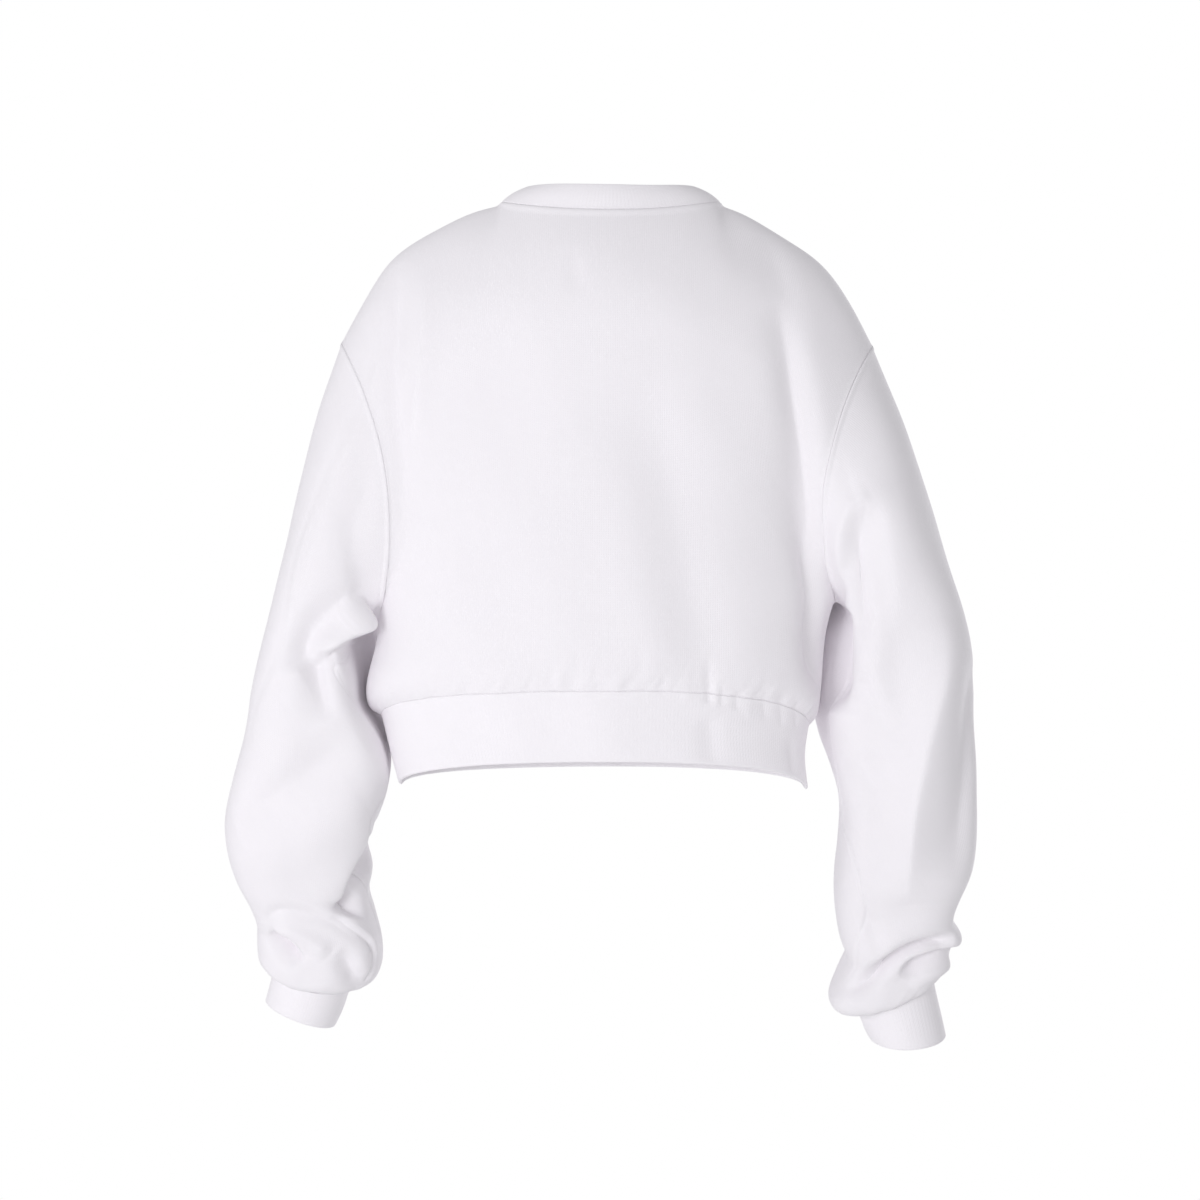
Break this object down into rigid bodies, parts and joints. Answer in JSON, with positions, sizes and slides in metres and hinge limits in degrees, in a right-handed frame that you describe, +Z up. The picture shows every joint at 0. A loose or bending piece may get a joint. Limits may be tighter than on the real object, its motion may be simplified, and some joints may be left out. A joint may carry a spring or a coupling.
{
  "type": "sweatshirt",
  "caption": "Cropped crew-neck sweatshirt with dropped shoulders, full sleeves gathered over ribbed cuffs and a deep ribbed waistband, in the hollow form it has when worn.",
  "frame": {"origin": "middle of the neck opening, level with the inner ends of the shoulder seams, where the garment rests on its wearer's shoulders", "axes": "+Z up, +X to the wearer's left, +Y to the wearer's back"},
  "size_m": [0.6158, 0.2358, 0.7116],
  "materials": {
    "fleece": "smooth-faced cotton fleece knit, matte white",
    "rib": "fine cotton rib knit, matte white"
  },
  "bodies": {
    "root": {"back": "fleece", "front": "fleece", "sleeve_left": "fleece", "sleeve_right": "fleece", "collar": "rib", "waistband": "rib", "cuff_left": "rib", "cuff_right": "rib"}
  },
  "joints": []
}
